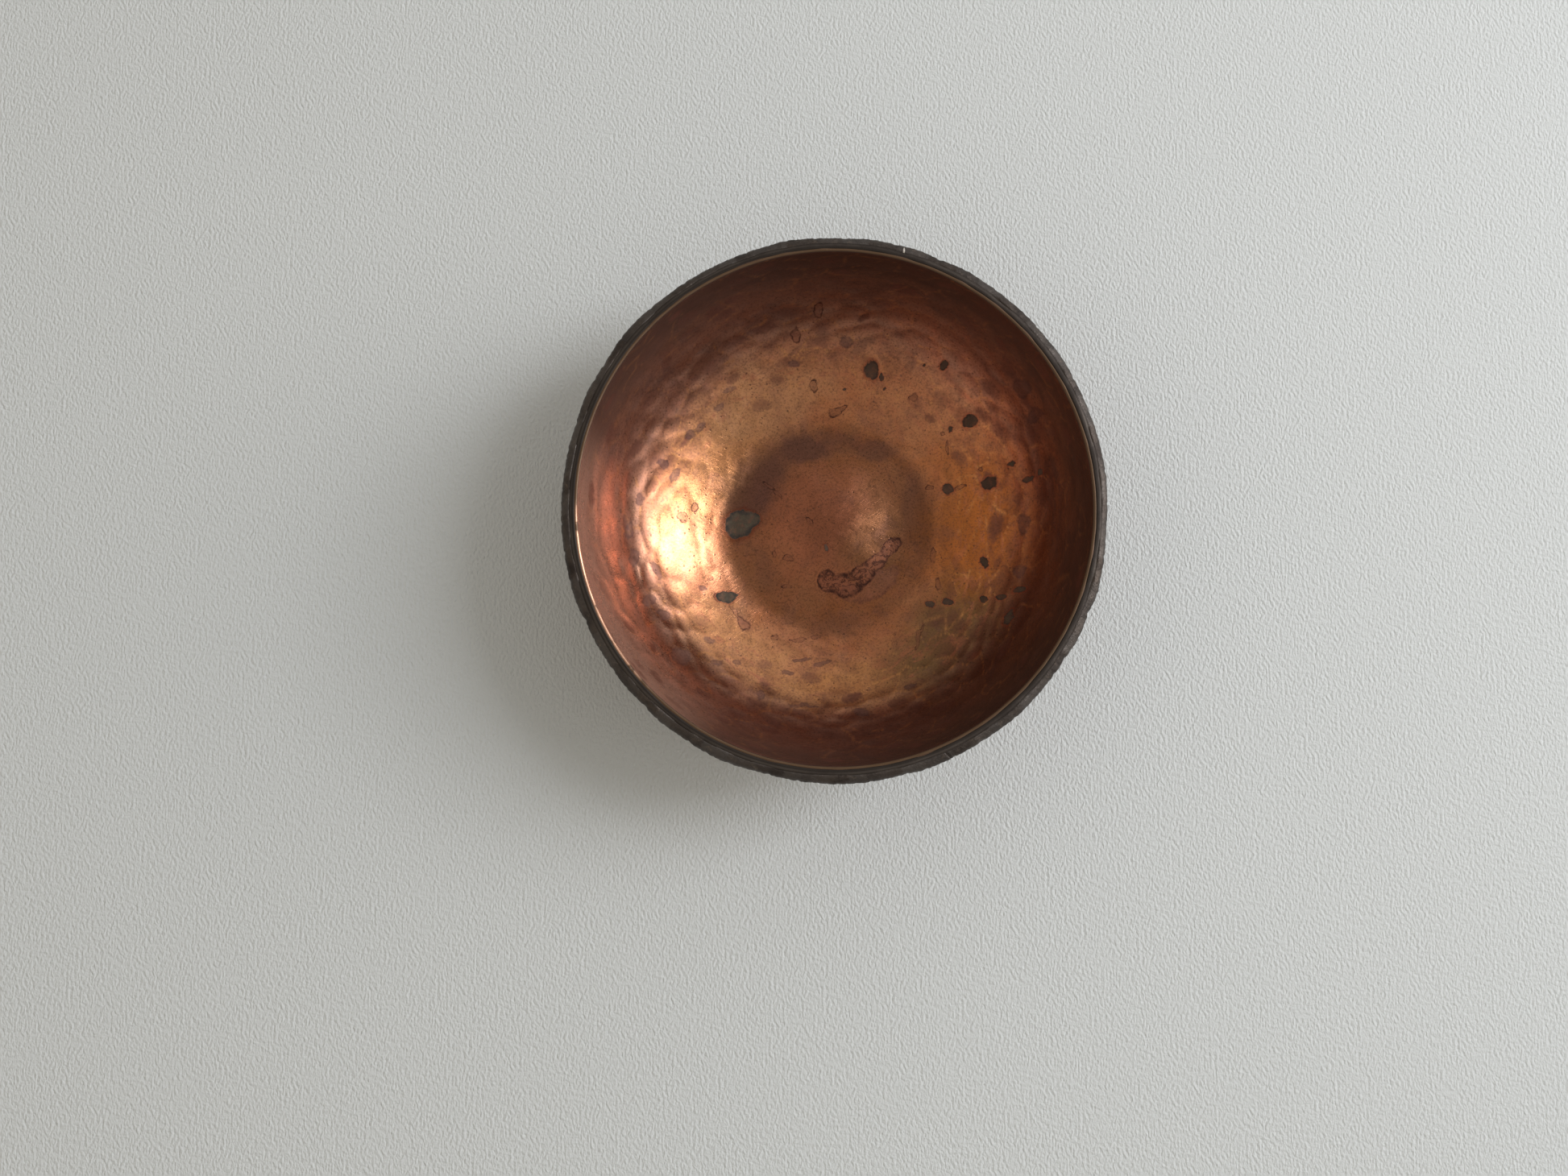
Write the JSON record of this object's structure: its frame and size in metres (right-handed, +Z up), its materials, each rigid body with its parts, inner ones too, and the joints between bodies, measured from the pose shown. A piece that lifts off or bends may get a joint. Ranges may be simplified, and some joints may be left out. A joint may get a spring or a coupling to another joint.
{
  "type": "hammered copper bowl",
  "caption": "Shallow round hammered copper bowl with a kicked-up centre and a heavy dark hammered band soldered round its rim; holds nuts, fruit or keys.",
  "frame": {"origin": "centre of the flat ring that the bowl stands on, at table height", "axes": "+Z up along the bowl's axis towards its mouth; +X and +Y lie in the table plane, and the joint in the rim band is at 66 degrees below +X, towards -Y"},
  "size_m": [0.15, 0.15, 0.046],
  "materials": {
    "polished_copper": "copper, hammered and polished, with brown tarnish and water stains",
    "dark_copper": "copper, hammered, with a dark brown-black oxide",
    "brazing_brass": "brass-coloured hard solder, dull"
  },
  "bodies": {
    "root": {"bowl_shell": "polished_copper", "rim_band": "dark_copper", "rim_solder": "brazing_brass", "band_joint_solder": "brazing_brass"}
  },
  "joints": []
}
